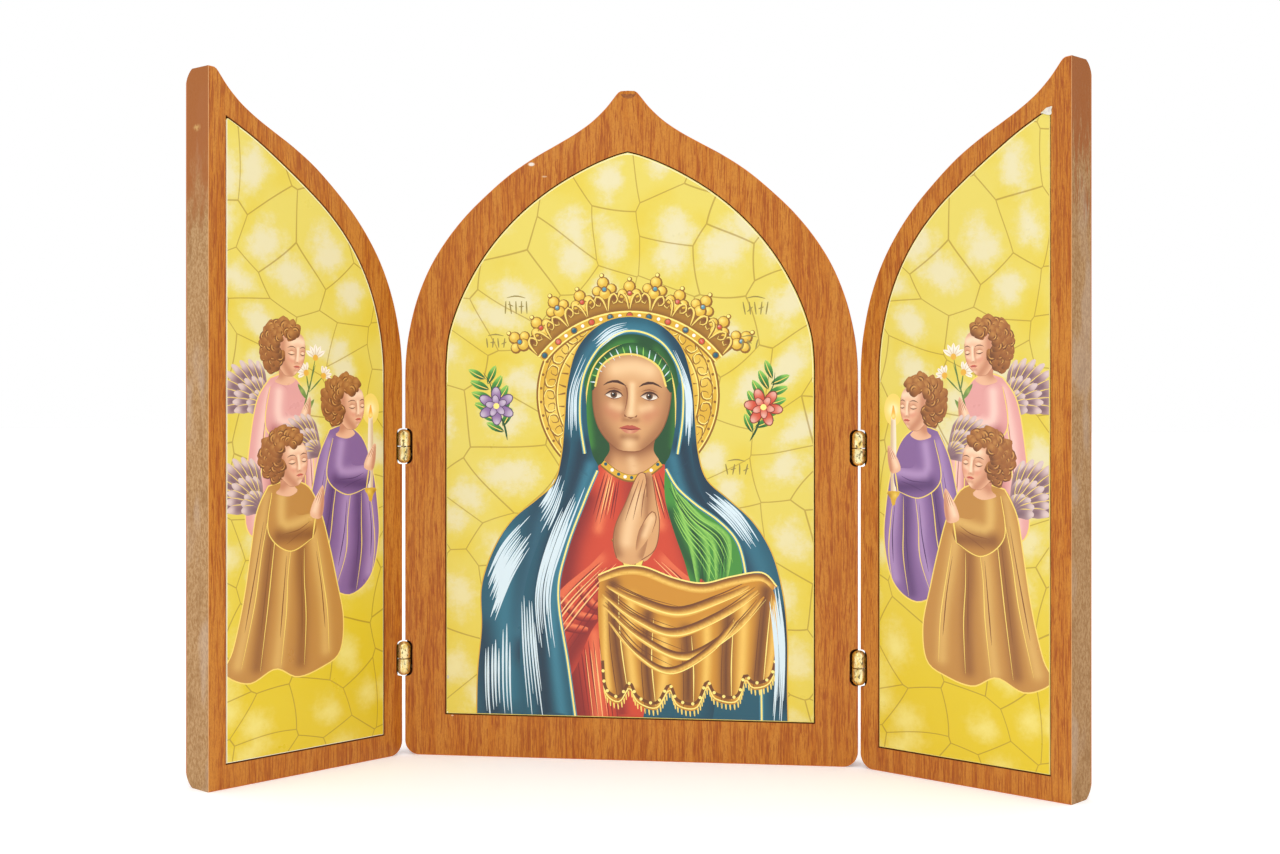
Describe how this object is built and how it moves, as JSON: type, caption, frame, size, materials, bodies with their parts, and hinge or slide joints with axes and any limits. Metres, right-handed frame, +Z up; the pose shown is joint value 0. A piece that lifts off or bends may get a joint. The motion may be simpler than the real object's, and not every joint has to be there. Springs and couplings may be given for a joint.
{
  "type": "triptych altarpiece",
  "caption": "Folding wooden triptych with an ogee-topped centre board, half-width hinged wings and printed picture plates let into the fronts.",
  "frame": {"origin": "centre of the centre board's underside, at mid-thickness", "axes": "+Z up, +X to the viewer's right, -Y towards the viewer, out of the centre picture"},
  "size_m": [0.397, 0.107, 0.319],
  "materials": {
    "board_foil": "satin wood-grain foil over fibreboard",
    "centre_print": "glossy printed picture",
    "wing_print": "glossy printed picture",
    "brass": "polished, scratched"
  },
  "bodies": {
    "centre": {"centre_board": "board_foil", "centre_picture_plate": "centre_print", "left_upper_hinge_fixed_half": "brass", "left_lower_hinge_fixed_half": "brass", "right_upper_hinge_fixed_half": "brass", "right_lower_hinge_fixed_half": "brass"},
    "left_wing": {"left_wing_board": "board_foil", "left_picture_plate": "wing_print", "left_upper_hinge_moving_half": "brass", "left_lower_hinge_moving_half": "brass"},
    "right_wing": {"right_wing_board": "board_foil", "right_picture_plate": "wing_print", "right_upper_hinge_moving_half": "brass", "right_lower_hinge_moving_half": "brass"}
  },
  "joints": [
    {"name": "left_wing_hinge", "type": "hinge", "parent": "centre", "child": "left_wing", "pos_m": [-0.10934, -0.00925, 0.0979], "axis": [0, 0, 1], "range_deg": [-54.6, 125.4]},
    {"name": "right_wing_hinge", "type": "hinge", "parent": "centre", "child": "right_wing", "pos_m": [0.10934, -0.00925, 0.0979], "axis": [0, 0, -1], "range_deg": [-34.4, 145.6]}
  ]
}
